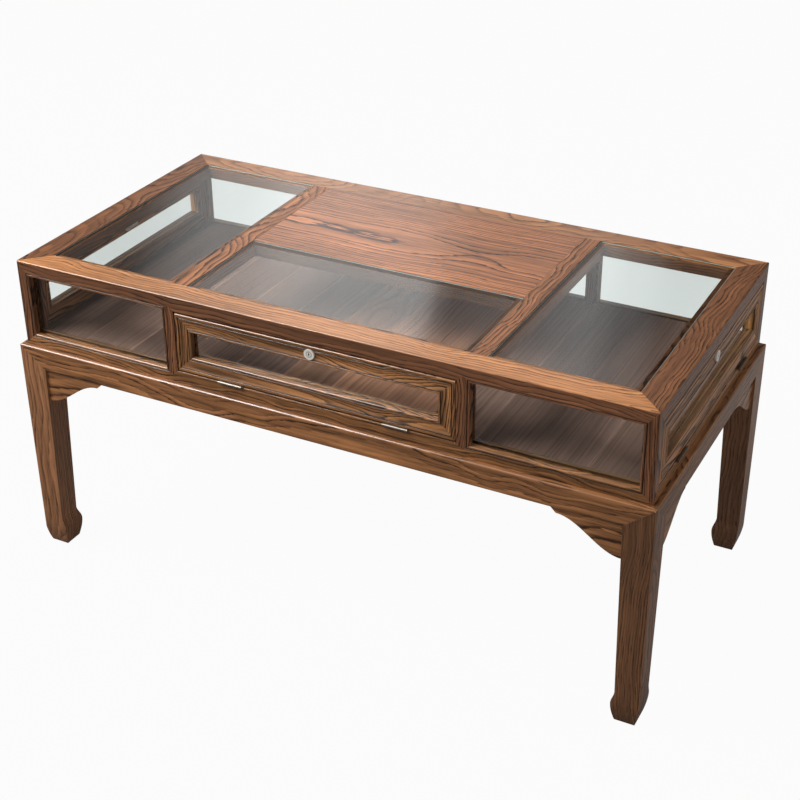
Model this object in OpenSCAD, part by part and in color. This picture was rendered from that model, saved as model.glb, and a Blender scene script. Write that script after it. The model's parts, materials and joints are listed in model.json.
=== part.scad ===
// Low display table: a glazed case with three drop flaps on a stand with hoof feet.
// The frame: +Z up, origin on the floor under the middle, front towards -Y.

/* [Overall size] */
// Width of the stand, which is the widest part
stand_w = 1200; // [1100:10:1400]
// Depth of the stand
stand_d = 600; // [560:10:700]
// Height from the floor to the top of the case
total_h = 590; // [500:5:680]
// Height of the glazed case
case_h = 162; // [156:1:190]
// How far the case is set in from the stand all round
ledge = 10; // [8:1:16]

/* [Top frame] */
// Width of the top rails, seen from above
rail_face = 46; // [38:1:60]
// Thickness of the top rails and of the cross rails
top_t = 27; // [24:1:34]
// Width of the lips that the top glass rests on
lip_w = 10; // [6:1:14]
// Thickness of the top glass
top_glass_t = 5.5; // [4:0.5:8]
// How far the top glass lies below the wood
glass_drop = 0.5; // [0:0.1:1]
// Bevel on the upper edges of the top glass
glass_bevel = 0.8; // [0.3:0.1:1.5]
// Width of the two cross rails, seen from above
cross_face = 32; // [24:1:40]
// Distance from the middle to the centre line of a cross rail
cross_x = 279; // [260:1:300]
// Distance from the middle line forwards to the front edge of the wooden panel
panel_front = 31; // [0:1:80]
// Thickness of the wooden panel between its lips
panel_t = 12; // [9:0.5:16]
// Width of the bearer under the joint of panel and glass
bearer_w = 26; // [22:1:40]
// Radius of the top outer arris
top_arris_r = 2.5; // [1:0.5:4]

/* [Posts and bottom rails] */
// Face width and depth of the corner posts
post_w = 23; // [20:0.5:28]
// Face width of the posts between the bays
mid_post_w = 23.5; // [20:0.5:30]
// Depth of the posts between the bays
mid_post_t = 30; // [26:1:36]
// Height of the pointed shoulders of the posts between the bays
shoulder_h = 10; // [6:0.5:12]
// Depth of the pointed shoulders
shoulder_t = 8; // [5:0.5:8.5]
// Height of the bottom rails
base_h = 21.5; // [18:0.5:28]
// Depth of the bottom rails
base_t = 28; // [27:1:34]
// Radius of the upright arrises of the case
post_arris_r = 3; // [1:0.5:5]

/* [Windows] */
// Half the width of the opening between the two middle posts
flap_half = 262.5; // [240:0.5:290]
// Width of the bead around a window
bead_w = 4; // [3:0.5:6]
// Radius of the bead's inner arris
bead_r = 2; // [1:0.5:2.5]
// Width of the fine groove behind the bead
groove_w = 1.2; // [0.8:0.1:2]
// Depth of the fine groove behind the bead
groove_d = 1; // [0.5:0.1:2]
// Depth of the window glass behind the face of the case
glass_y = 12; // [9:0.5:12]
// Thickness of the window and flap glass
glass_t = 4; // [3:0.5:4.5]
// Width of the rebate for the window glass, and depth of its groove in the bottom rail
glass_in = 5; // [3:0.5:7]
// Height of the glazing strip that stands on the floor behind the glass
sill_h = 4; // [3:0.5:8]

/* [Floor] */
// Thickness of the floor boards
floor_t = 9; // [6:0.5:12]
// Number of floor boards
board_count = 12; // [10:1:16]
// Gap between two floor boards
board_gap = 0.8; // [0.4:0.1:2]
// Width of the seat for the floor boards on the bottom rails
floor_seat = 9; // [6:0.5:9]
// Width of the battens under the floor and of the bearers in the stand
batten_w = 40; // [30:1:60]
// Distance from the middle to a batten
batten_x = 200; // [150:5:240]
// Height of the bearers in the stand
stand_bearer_h = 22; // [16:1:30]

/* [Flaps] */
// Thickness of the flap frames
flap_t = 22; // [20:0.5:24]
// Width of the flap frame members
flap_frame_w = 30; // [28:0.5:34]
// Gap beside a flap on each side
flap_gap = 1.5; // [1:0.1:3]
// Gap above a flap
flap_top_gap = 3; // [2.8:0.1:5]
// Gap below a flap, which holds the two hinge leaves
flap_base_gap = 2.4; // [2.4:0.1:4]
// Width of the outer band of a flap frame
band_w = 6; // [4:0.5:8]
// Depth of the hollow between the outer band and the inner bead
hollow_d = 2.2; // [1:0.1:3]
// Radius of the flap's arrises
flap_arris_r = 2; // [1:0.5:2.5]
// Depth of the flap glass behind the flap's face
flap_glass_y = 11; // [9:0.5:12]
// Width of the rebate for the flap glass
flap_rebate = 6.5; // [4:0.5:6.5]
// Bevel on the back edge of a flap, which clears the frame as it swings
edge_bevel = 1.5; // [1:0.5:2.5]
// Width and depth of the strips that a flap closes against
stop_w = 8; // [6:0.5:12]
// Play between a closed flap and its stops
stop_play = 0.4; // [0.3:0.1:1]

/* [Hinges] */
// Length of a hinge
hinge_len = 46; // [36:1:60]
// Distance from the middle of the front flap to a hinge
front_hinge_x = 156; // [120:1:200]
// Distance from the middle of an end flap to a hinge
end_hinge_x = 165; // [120:1:200]
// Radius of the hinge knuckles
knuckle_r = 2.6; // [2.2:0.1:2.8]
// Radius of the hinge pins
pin_r = 1.25; // [1:0.05:1.4]
// Running clearance of a pin in its knuckle
pin_play = 0.05; // [0.03:0.01:0.08]
// Thickness of a hinge leaf
leaf_t = 1; // [0.8:0.1:1]
// How far a leaf reaches in under the flap
leaf_reach = 13; // [8:0.5:14]
// Gap between two knuckles
knuckle_gap = 0.5; // [0.3:0.1:1]
// How far a pin stands out of the last knuckle
pin_end = 0.6; // [0.2:0.1:1.5]

/* [Locks] */
// Radius of the lock's flange
flange_r = 9.5; // [8.5:0.25:11]
// How far the flange stands proud of the flap
flange_proud = 1.3; // [0.8:0.1:2]
// Radius of the threaded barrel
barrel_r = 7.5; // [7:0.25:7.5]
// How far the barrel reaches past the back of the flap
barrel_past = 5; // [5:0.5:8]
// Radius of the head of the lock's plug
plug_head_r = 6.4; // [6:0.1:6.6]
// Thickness of the head of the plug
plug_head_t = 2.2; // [1.5:0.1:3]
// Radius of the plug in its barrel
plug_r = 5.2; // [4.5:0.1:5.4]
// Running clearance of the plug in its barrel
plug_play = 0.06; // [0.03:0.01:0.09]
// Length of the keyway across the plug
key_len = 7; // [5:0.5:8]
// Width of the keyway
key_w = 1.4; // [1:0.1:2]
// Depth of the keyway
key_d = 9; // [5:0.5:12]
// Length of the cam from the plug's axis
cam_len = 24; // [22:0.5:26]
// Width of the cam
cam_w = 12; // [10:0.5:14]
// Thickness of the cam
cam_t = 2; // [1.5:0.1:3]
// Play behind the barrel, in front of the cam
cam_play = 0.4; // [0.3:0.1:0.8]
// Distance across the flats of the nut
nut_flats = 20; // [18:0.5:22]
// Thickness of the nut
nut_t = 3.5; // [3:0.5:4.5]

/* [Stand] */
// Height of the aprons
apron_h = 42; // [36:1:54]
// Thickness of the aprons
apron_t = 26; // [22:1:32]
// Radius of the rounded top arris of the stand
stand_arris_r = 4; // [2:0.5:6]
// Radius of the upright arris of a leg
leg_arris_r = 3; // [2:0.5:8]
// Width of a leg under the apron
leg_w = 52; // [46:1:62]
// Width of a leg at the ankle
ankle_w = 43.5; // [36:0.5:44]
// Height of the ankle above the floor
ankle_z = 64; // [50:1:80]
// Width of the hoof at its widest
hoof_w = 49.5; // [46:0.5:52]
// Height of the hoof's widest place
hoof_z = 38; // [28:1:44]
// Height at which the outer faces start to curve in
toe_z = 48; // [36:1:60]
// How far the outer faces curve in at the floor
toe_in = 7.5; // [5:0.5:14]
// Width left of the hoof's inner side at the floor
sole_w = 43; // [36:0.5:45]

/* [Brackets] */
// Length of a bracket along the apron
bracket_len = 122; // [90:1:150]
// Height of a bracket at the leg
bracket_h = 64; // [40:1:90]
// Height of the small nib at the bracket's tip
nib_h = 12; // [6:1:16]
// Thickness of the brackets
bracket_t = 18; // [12:1:20]
// How far the brackets are set back from the apron's face
bracket_back = 4; // [2:0.5:6]

/* [Hidden] */
$fn = 48;
// An overcut, so that no cut ends on a face
over = 1;
// Colours
top_wood = "#b0703f";
panel_wood = "#b9794f";
case_wood = "#7a4b2c";
flap_wood = "#8a5a36";
stand_wood = "#6f452b";
floor_wood = "#7d6a5e";
clear_glass = [0.75, 0.82, 0.8, 0.35];
steel = "#c4c6c9";
// Sides, in the order of a quarter turn each
front = 0;
right = 1;
back = 2;
left = 3;
case_w = stand_w - 2 * ledge;
case_d = stand_d - 2 * ledge;
stand_h = total_h - case_h;
apron_z = stand_h - apron_h;
// Heights inside the case, above the top of the stand
open_h = case_h - top_t - base_h;
base_top = stand_h + base_h;
top_under = total_h - top_t;
// The strips behind the window glass end flush with the back of the corner posts
strip_t = post_w - glass_y - glass_t;
seat_z = total_h - top_glass_t - glass_drop;
rail_total = rail_face + lip_w;
// Windows: the outer ones lie between a corner post and a middle post
window_w = case_w / 2 - post_w - flap_half - mid_post_w;
window_x = flap_half + mid_post_w + window_w / 2;
front_windows = [[-window_x, window_w], [window_x, window_w]];
back_windows = [[-window_x, window_w], [0, 2 * flap_half], [window_x, window_w]];
end_open = case_d - 2 * post_w;
// Flaps, measured up from the bottom of their opening
flap_top = open_h - flap_top_gap;
flap_height = flap_top - flap_base_gap;
axis_y = knuckle_r + 0.4;
axis_z = flap_base_gap / 2;
lock_z = flap_top - flap_frame_w / 2;
barrel_end = flap_t + barrel_past;
cam_y = barrel_end + cam_play;
slot_play = 0.8;
mitre_play = 0.1;
bracket_steps = 16;
hoof_steps = 10;

// Puts a piece that is drawn along X, with its outer face at y = 0, on one side of a box.
module on_side(side, w, d) {
    rotate([0, 0, 90 * side])
        translate([0, -(side % 2 == 0 ? d : w) / 2, 0])
            children();
}

// Puts a piece that is drawn at the front left corner on another corner.
module on_corner(at_right, at_back) {
    mirror([at_right ? 1 : 0, 0, 0])
        mirror([0, at_back ? 1 : 0, 0])
            children();
}

// Extrudes an outline of (y, z) points along X, centred.
module along_x(len) {
    rotate([90, 0, 90])
        linear_extrude(len, center = true)
            children();
}

// Extrudes an outline of (x, z) points inwards from y = from.
module inward(from, len) {
    translate([0, from + len, 0])
        rotate([90, 0, 0])
            linear_extrude(len)
                children();
}

// The waste outside a rounded arris that runs along Z, with the wood towards +X and +Y.
module arris_waste(r, len) {
    linear_extrude(len, center = true)
        difference() {
            translate([-over, -over]) square(r + over);
            translate([r, r]) circle(r);
        }
}

// The waste along the outer top edge of a side of length len, at height z.
module top_edge_waste(r, len, z) {
    translate([0, 0, z])
        rotate([0, 90, 0])
            arris_waste(r, len + 2 * over);
}

// The waste along the four upright edges of a box.
module upright_waste(r, w, d) {
    for (at_right = [false, true], at_back = [false, true])
        on_corner(at_right, at_back)
            translate([-w / 2, -d / 2, total_h / 2])
                arris_waste(r, total_h + 2 * over);
}

// A plan with both ends cut at 45 degrees, for a rail of width w.
module mitred_plan(len, w, h) {
    linear_extrude(h)
        polygon([[-len / 2, 0], [len / 2, 0], [len / 2 - w, w], [-len / 2 + w, w]]);
}

// Two crossed extrusions of one outline: a square post with the same shape on both faces.
module crossed(w) {
    intersection() {
        inward(0, w) children();
        rotate([90, 0, 90]) linear_extrude(w) children();
    }
}

// The leg's outline: mitred into the apron at the top, tapered inside, with a hoof foot.
function toe_x(z) = let (r = (toe_z * toe_z + toe_in * toe_in) / (2 * toe_in))
    r - sqrt(r * r - (toe_z - z) * (toe_z - z));
function ease(t) = 0.5 - 0.5 * cos(180 * t);
function hoof_x(z) = z < hoof_z
    ? sole_w + (hoof_w - sole_w) * sin(90 * z / hoof_z)
    : hoof_w + (ankle_w - hoof_w) * ease((z - hoof_z) / (ankle_z - hoof_z));
leg_outline = concat(
    [[0, stand_h]],
    [for (i = [0 : hoof_steps]) let (z = toe_z * (1 - i / hoof_steps)) [toe_x(z), z]],
    [for (i = [0 : hoof_steps]) let (z = hoof_z * i / hoof_steps) [hoof_x(z), z]],
    [for (i = [1 : hoof_steps]) let (z = hoof_z + (ankle_z - hoof_z) * i / hoof_steps) [hoof_x(z), z]],
    [[leg_w, apron_z]]);

module leg_blank() {
    translate([-stand_w / 2, -stand_d / 2, 0])
        crossed(leg_w) polygon(leg_outline);
}

module stand_edges(side) {
    on_side(side, stand_w, stand_d)
        top_edge_waste(stand_arris_r, stand_w, stand_h);
}

module leg(at_right, at_back) {
    color(stand_wood)
        difference() {
            on_corner(at_right, at_back) leg_blank();
            stand_edges(at_back ? back : front);
            stand_edges(at_right ? right : left);
            upright_waste(leg_arris_r, stand_w, stand_d);
        }
}

module apron(side) {
    len = side % 2 == 0 ? stand_w : stand_d;
    color(stand_wood)
        difference() {
            on_side(side, stand_w, stand_d)
                translate([0, 0, apron_z])
                    mitred_plan(len, apron_t, apron_h);
            for (at_right = [false, true], at_back = [false, true])
                on_corner(at_right, at_back) leg_blank();
            stand_edges(side);
            upright_waste(leg_arris_r, stand_w, stand_d);
        }
}

// A bracket's outline from the leg's taper to the nib, hanging below z = 0.
function leg_inner(drop) = leg_w - (leg_w - ankle_w) * drop / (apron_z - ankle_z);
bracket_outline = concat(
    [[leg_w, 0], [leg_inner(bracket_h), -bracket_h]],
    [for (i = [1 : bracket_steps])
        [leg_inner(bracket_h) + (leg_w + bracket_len - nib_h - leg_inner(bracket_h)) * i / bracket_steps,
         -bracket_h + (bracket_h - nib_h) * ease(i / bracket_steps)]],
    [[leg_w + bracket_len, 0]]);

module bracket_pair(side) {
    len = side % 2 == 0 ? stand_w : stand_d;
    color(stand_wood)
        on_side(side, stand_w, stand_d)
            for (turned = [0, 1])
                mirror([turned, 0, 0])
                    translate([-len / 2, 0, apron_z])
                        inward(bracket_back, bracket_t) polygon(bracket_outline);
}

module long_brackets() {
    bracket_pair(front);
    bracket_pair(back);
}

module end_brackets() {
    bracket_pair(right);
    bracket_pair(left);
}

module stand_bearers() {
    color(stand_wood)
        for (x = [-batten_x, batten_x])
            translate([x - batten_w / 2, -stand_d / 2 + apron_t, stand_h - stand_bearer_h])
                cube([batten_w, stand_d - 2 * apron_t, stand_bearer_h]);
}

// Corner post of the case, pointed at both ends where the rails are mitred round it.
module corner_post_blank() {
    translate([-case_w / 2, -case_d / 2, stand_h])
        crossed(post_w)
            polygon([[0, 0], [post_w, base_h], [post_w, case_h - top_t], [0, case_h]]);
}

module corner_posts_blank() {
    for (at_right = [false, true], at_back = [false, true])
        on_corner(at_right, at_back) corner_post_blank();
}

// Outline of a middle post's face, with its pointed shoulders, about its own middle.
module shoulder_outline() {
    half = mid_post_w / 2;
    polygon([[-half, 0], [0, -shoulder_h], [half, 0], [half, open_h], [0, open_h + shoulder_h], [-half, open_h]]);
}

module mid_posts_blank(side) {
    on_side(side, case_w, case_d)
        for (x = [-1, 1])
            translate([x * (flap_half + mid_post_w / 2), 0, base_top]) {
                inward(0, shoulder_t) shoulder_outline();
                translate([-mid_post_w / 2, 0, 0]) cube([mid_post_w, mid_post_t, open_h]);
            }
}

module centred_rect(w, h, grow) {
    translate([-w / 2 - grow, -grow]) square([w + 2 * grow, h + 2 * grow]);
}

// The waste along a moulded edge at z = 0, with the wood below it: the rounded bead and
// the fine groove behind the bead.
module bead_waste(len) {
    along_x(len) {
        translate([-over, -bead_w - groove_w]) square([groove_d + over, groove_w]);
        difference() {
            translate([-over, -bead_r]) square(bead_r + over);
            translate([bead_r, -bead_r]) circle(bead_r);
        }
    }
}

// What is cut for a window in the posts (upright) or in the rails: the groove for the glass all
// round, and behind it the rebate for the strips, which runs out at the back of the posts.
module window_cuts(x, w, upright) {
    run = 3 * (bead_w + groove_w);
    low = upright ? 0 : over;
    translate([x, 0, base_top]) {
        inward(glass_y, glass_t) centred_rect(w, open_h, glass_in);
        inward(glass_y + glass_t, upright ? mid_post_t : strip_t)
            translate([-w / 2 - glass_in, low]) square([w + 2 * glass_in, open_h + glass_in - low]);
        for (s = [-1, 1])
            translate([upright ? s * w / 2 : 0, 0, upright ? open_h / 2 : (1 + s) / 2 * open_h])
                rotate([0, upright ? -90 * s : 90 * (1 + s), 0])
                    bead_waste((upright ? open_h : w) + run);
    }
}

function windows(side) = side == front ? front_windows : side == back ? back_windows : [];

module side_window_cuts(side, upright) {
    on_side(side, case_w, case_d)
        for (win = windows(side)) window_cuts(win[0], win[1], upright);
}

module case_edges(side) {
    on_side(side, case_w, case_d)
        top_edge_waste(top_arris_r, case_w, total_h);
}

module corner_post(at_right, at_back) {
    color(case_wood)
        difference() {
            on_corner(at_right, at_back) corner_post_blank();
            side_window_cuts(at_back ? back : front, true);
            case_edges(at_back ? back : front);
            case_edges(at_right ? right : left);
            upright_waste(post_arris_r, case_w, case_d);
        }
}

module mid_posts(side) {
    color(case_wood)
        difference() {
            mid_posts_blank(side);
            side_window_cuts(side, true);
        }
}

// The slot above a flap that takes the cam when the lock is turned.
module cam_slot() {
    reach = lock_z + norm([cam_len, cam_w / 2]) - open_h;
    half = sqrt(pow(norm([cam_len, cam_w / 2]), 2) - pow(open_h - lock_z, 2));
    translate([-half - slot_play, cam_y - slot_play, top_under - over])
        cube([2 * (half + slot_play), cam_t + 2 * slot_play, reach + over + slot_play]);
}

module top_rail(side) {
    len = side % 2 == 0 ? case_w : case_d;
    color(top_wood)
        difference() {
            on_side(side, case_w, case_d)
                intersection() {
                    along_x(len)
                        polygon([[0, top_under], [rail_total, top_under], [rail_total, seat_z],
                            [rail_face, seat_z], [rail_face, total_h], [0, total_h]]);
                    translate([0, 0, top_under - over]) mitred_plan(len, rail_total, top_t + 2 * over);
                }
            corner_posts_blank();
            if (side == front || side == back)
                mid_posts_blank(side);
            for (face = [front, back])
                side_window_cuts(face, false);
            if (side != back)
                on_side(side, case_w, case_d) cam_slot();
            case_edges(side);
            upright_waste(post_arris_r, case_w, case_d);
        }
}

module cross_rail(x) {
    color(top_wood)
        translate([x, 0, 0]) {
            top_len = case_d - 2 * rail_face;
            low_len = case_d - 2 * rail_total;
            translate([-cross_face / 2, -top_len / 2, seat_z])
                cube([cross_face, top_len, total_h - seat_z]);
            translate([-cross_face / 2 - lip_w, -low_len / 2, top_under])
                cube([cross_face + 2 * lip_w, low_len, seat_z - top_under]);
        }
}

// Inner edges of the bays in the top frame, seen from above.
bay_y = case_d / 2 - rail_face;
bay_out = case_w / 2 - rail_face;
bay_in = cross_x + cross_face / 2;
bay_mid = cross_x - cross_face / 2;
edge_play = 0.3;

module plate(x0, x1, y0, y1, z, t) {
    translate([x0, y0, z]) cube([x1 - x0, y1 - y0, t]);
}

module top_panel() {
    under = seat_z - (panel_t - (total_h - seat_z));
    color(panel_wood) {
        plate(-bay_mid, bay_mid, -panel_front, bay_y, seat_z, total_h - seat_z);
        plate(-bay_mid + lip_w, bay_mid - lip_w, -panel_front + bearer_w / 2, bay_y - lip_w, under, seat_z - under);
    }
}

module panel_bearer() {
    color(top_wood)
        plate(-bay_mid + lip_w, bay_mid - lip_w, -panel_front - bearer_w / 2, -panel_front + bearer_w / 2,
            top_under, seat_z - top_under);
}

// Section of a pane of width w whose two upper edges are bevelled.
module bevelled_section(w) {
    half = w / 2;
    polygon([[-half, 0], [half, 0], [half, top_glass_t - glass_bevel], [half - glass_bevel, top_glass_t],
        [glass_bevel - half, top_glass_t], [-half, top_glass_t - glass_bevel]]);
}

module top_glass(x0, x1, y1) {
    w = x1 - x0 - 2 * edge_play;
    d = y1 + bay_y - 2 * edge_play;
    color(clear_glass)
        translate([(x0 + x1) / 2, (y1 - bay_y) / 2, seat_z])
            intersection() {
                along_x(w) bevelled_section(d);
                rotate([0, 0, 90]) along_x(d) bevelled_section(w);
            }
}

module base_rail(side) {
    len = side % 2 == 0 ? case_w : case_d;
    color(case_wood)
        difference() {
            on_side(side, case_w, case_d)
                intersection() {
                    along_x(len)
                        polygon([[0, stand_h], [base_t, stand_h], [base_t, base_top - floor_t],
                            [base_t - floor_seat, base_top - floor_t], [base_t - floor_seat, base_top],
                            [0, base_top]]);
                    translate([0, 0, stand_h - over]) mitred_plan(len, base_t, base_h + 2 * over);
                }
            corner_posts_blank();
            if (side == front || side == back)
                mid_posts_blank(side);
            for (face = [front, back])
                side_window_cuts(face, false);
            upright_waste(post_arris_r, case_w, case_d);
        }
}

// Floor boards run from front to back, between the seats of the bottom rails.
module floor_boards() {
    half_w = case_w / 2 - base_t + floor_seat;
    half_d = case_d / 2 - base_t + floor_seat;
    pitch = 2 * half_w / board_count;
    color(floor_wood)
        difference() {
            for (i = [0 : board_count - 1])
                translate([-half_w + i * pitch + board_gap / 2, -half_d, base_top - floor_t])
                    cube([pitch - board_gap, 2 * half_d, floor_t]);
            corner_posts_blank();
        }
}

module floor_battens() {
    color(floor_wood)
        for (x = [-batten_x, batten_x])
            translate([x - batten_w / 2, -case_d / 2 + base_t, stand_h])
                cube([batten_w, case_d - 2 * base_t, base_h - floor_t]);
}

module window_glass() {
    color(clear_glass)
        for (side = [front, back])
            on_side(side, case_w, case_d)
                for (win = windows(side))
                    translate([win[0], 0, base_top])
                        inward(glass_y, glass_t)
                            translate([-win[1] / 2 - glass_in + edge_play, -glass_in])
                                square([win[1] + 2 * (glass_in - edge_play), open_h + 2 * glass_in - edge_play]);
}

// Four strips mitred into a frame of size w by h, its bottom edge at z = 0.
module mitred_strips(w, h, s, from, t) {
    low = mitre_play;
    for (turned = [0, 1]) {
        mirror([turned, 0, 0])
            inward(from, t)
                polygon([[-w / 2, low], [-w / 2 + s, low + s], [-w / 2 + s, h - low - s], [-w / 2, h - low]]);
        translate([0, 0, turned * h])
            mirror([0, 0, turned])
                inward(from, t)
                    polygon([[-w / 2, 0], [w / 2, 0], [w / 2 - s, s], [-w / 2 + s, s]]);
    }
}

// The strips of one window: mitred into the rebate at the sides and the top, and one on the floor.
module rebate_strips(w) {
    half = w / 2;
    reach = half + glass_in;
    high = open_h + glass_in;
    inward(glass_y + glass_t, strip_t) {
        for (turned = [0, 1])
            mirror([turned, 0])
                polygon([[-reach, mitre_play], [-half, mitre_play], [-half, open_h - mitre_play],
                    [-reach, high - mitre_play]]);
        polygon([[-reach, high], [reach, high], [half, open_h], [-half, open_h]]);
        translate([mitre_play - half, 0]) square([w - 2 * mitre_play, sill_h]);
    }
}

module window_strips() {
    color(case_wood)
        for (side = [front, back])
            on_side(side, case_w, case_d)
                for (win = windows(side))
                    translate([win[0], 0, base_top]) rebate_strips(win[1]);
}

// Width of the opening that a flap closes.
function flap_open(side) = side == front ? 2 * flap_half : end_open;
function hinge_x(side) = side == front ? front_hinge_x : end_hinge_x;
flap_sides = [front, right, left];

// Puts a piece of a flap, drawn above z = 0 in the opening, on its side of the case.
module at_flap(side) {
    on_side(side, case_w, case_d)
        translate([0, 0, base_top])
            children();
}

module flap_stops() {
    color(case_wood)
        for (side = flap_sides)
            at_flap(side)
                for (turned = [0, 1])
                    mirror([turned, 0, 0])
                        translate([flap_open(side) / 2 - stop_w, flap_t + stop_play, 0])
                            cube([stop_w, stop_w, open_h]);
}

// Section of a flap's frame: u runs in from the outer edge, v runs back from the face.
module flap_section() {
    u0 = band_w + groove_w;
    u1 = flap_frame_w - bead_w - groove_w;
    half = (u1 - u0) / 2;
    cove_r = (half * half + hollow_d * hollow_d) / (2 * hollow_d);
    difference() {
        polygon([[0, 0], [flap_frame_w, 0], [flap_frame_w, flap_glass_y],
            [flap_frame_w - flap_rebate, flap_glass_y], [flap_frame_w - flap_rebate, flap_t],
            [edge_bevel, flap_t], [0, flap_t - 2 * edge_bevel]]);
        translate([band_w, -over]) square([groove_w, groove_d + over]);
        translate([u1, -over]) square([groove_w, groove_d + over]);
        translate([(u0 + u1) / 2, hollow_d - cove_r]) circle(cove_r, $fn = 96);
        difference() {
            translate([-over, -over]) square(flap_arris_r + over);
            translate([flap_arris_r, flap_arris_r]) circle(flap_arris_r);
        }
        difference() {
            translate([flap_frame_w - flap_arris_r, -over]) square(flap_arris_r + over);
            translate([flap_frame_w - flap_arris_r, flap_arris_r]) circle(flap_arris_r);
        }
    }
}

// One mitred member of a flap's frame, its outer edge along X at z = 0.
module flap_member(len) {
    intersection() {
        rotate([0, -90, 0]) linear_extrude(len, center = true) flap_section();
        inward(-over, flap_t + 2 * over)
            polygon([[-len / 2, 0], [len / 2, 0],
                [len / 2 - flap_frame_w, flap_frame_w], [-len / 2 + flap_frame_w, flap_frame_w]]);
    }
}

module flap_rails(side) {
    len = flap_open(side) - 2 * flap_gap;
    color(flap_wood)
        at_flap(side) {
            translate([0, 0, flap_base_gap]) flap_member(len);
            difference() {
                translate([0, 0, flap_top]) rotate([0, 180, 0]) flap_member(len);
                translate([0, 0, lock_z]) rotate([-90, 0, 0]) {
                    cylinder(flap_t + over, r = barrel_r);
                    translate([0, 0, -over]) cylinder(hollow_d + over, r = flange_r);
                }
            }
        }
}

module flap_stiles(side) {
    len = flap_open(side) - 2 * flap_gap;
    color(flap_wood)
        at_flap(side)
            for (turned = [0, 1])
                mirror([turned, 0, 0])
                    translate([-len / 2, 0, flap_base_gap + flap_height / 2])
                        rotate([0, 90, 0]) flap_member(flap_height);
}

module flap_glass(side) {
    grow = flap_rebate - edge_play;
    w = flap_open(side) - 2 * flap_gap - 2 * flap_frame_w;
    h = flap_height - 2 * flap_frame_w;
    color(clear_glass)
        at_flap(side)
            translate([0, 0, flap_base_gap + flap_frame_w])
                inward(flap_glass_y, glass_t) centred_rect(w, h, grow);
}

module flap_strips(side) {
    w = flap_open(side) - 2 * (flap_gap + flap_frame_w - flap_rebate);
    h = flap_height - 2 * (flap_frame_w - flap_rebate);
    from = flap_glass_y + glass_t;
    color(flap_wood)
        at_flap(side)
            translate([0, 0, flap_base_gap + flap_frame_w - flap_rebate])
                mitred_strips(w, h, flap_rebate, from, flap_t - from);
}

// Hinge knuckles: the middle one belongs to the flap, the outer two to the case.
third = (hinge_len - 2 * knuckle_gap) / 3;

module knuckle(x0, x1) {
    translate([x0, -axis_y, axis_z]) rotate([0, 90, 0]) cylinder(x1 - x0, r = knuckle_r);
}

module pin_bore() {
    translate([0, -axis_y, axis_z]) rotate([0, 90, 0])
        cylinder(hinge_len + 2 * over, r = pin_r + pin_play, center = true);
}

// A leaf lies flat from z to z + leaf_t and joins its knuckles between x0 and x1.
module leaf_plate(z) {
    translate([-hinge_len / 2, 0, z]) cube([hinge_len, leaf_reach, leaf_t]);
}

module leaf_tongue(x0, x1, z) {
    translate([x0, -axis_y, z]) cube([x1 - x0, axis_y + over, leaf_t]);
}

module hinge_case_leaf() {
    difference() {
        union() {
            leaf_plate(0);
            for (s = [0, 1])
                mirror([s, 0, 0]) {
                    knuckle(third / 2 + knuckle_gap, hinge_len / 2);
                    leaf_tongue(third / 2 + knuckle_gap, hinge_len / 2, 0);
                }
        }
        pin_bore();
    }
}

module hinge_flap_leaf() {
    z = flap_base_gap - leaf_t;
    difference() {
        union() {
            leaf_plate(z);
            knuckle(-third / 2, third / 2);
            leaf_tongue(-third / 2, third / 2, z);
        }
        pin_bore();
    }
}

module at_hinges(side) {
    at_flap(side)
        for (s = [-1, 1])
            translate([s * hinge_x(side), 0, 0]) children();
}

module hinge_case_leaves() {
    color(steel)
        for (side = flap_sides) at_hinges(side) hinge_case_leaf();
}

module hinge_pins() {
    color(steel)
        for (side = flap_sides)
            at_hinges(side)
                translate([0, -axis_y, axis_z]) rotate([0, 90, 0])
                    cylinder(hinge_len + 2 * pin_end, r = pin_r, center = true);
}

module flap_leaves(side) {
    color(steel) at_hinges(side) hinge_flap_leaf();
}

// Puts a piece of a lock, drawn along Z with the flap's face at z = 0, in its flap.
module at_lock(side) {
    at_flap(side)
        translate([0, 0, lock_z])
            rotate([-90, 0, 0])
                children();
}

// Lock body: flange, threaded barrel and the nut that clamps them to the flap.
module lock_body(side) {
    color(steel)
        at_lock(side) {
            difference() {
                union() {
                    translate([0, 0, -flange_proud]) cylinder(flange_proud + hollow_d, r = flange_r);
                    cylinder(barrel_end, r = barrel_r);
                }
                translate([0, 0, -flange_proud - over])
                    cylinder(barrel_end + flange_proud + 2 * over, r = plug_r + plug_play);
                translate([0, 0, -flange_proud - over])
                    cylinder(plug_head_t + over + cam_play, r = plug_head_r + plug_play);
            }
            difference() {
                translate([0, 0, flap_t]) cylinder(nut_t, r = nut_flats / 2 / cos(30), $fn = 6);
                translate([0, 0, flap_t - over]) cylinder(nut_t + 2 * over, r = barrel_r);
            }
        }
}

// Plug with its keyway, and the cam behind it, which points sideways when unlocked.
module lock_plug(side) {
    color(steel)
        at_lock(side) {
            difference() {
                union() {
                    translate([0, 0, -flange_proud]) cylinder(plug_head_t, r = plug_head_r);
                    translate([0, 0, -flange_proud]) cylinder(cam_y + flange_proud, r = plug_r);
                }
                translate([-key_w / 2, -key_len / 2, -flange_proud - over]) cube([key_w, key_len, key_d + over]);
            }
            translate([0, 0, cam_y]) cylinder(cam_t, r = cam_w / 2);
            translate([-cam_len, -cam_w / 2, cam_y]) cube([cam_len, cam_w, cam_t]);
        }
}

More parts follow.
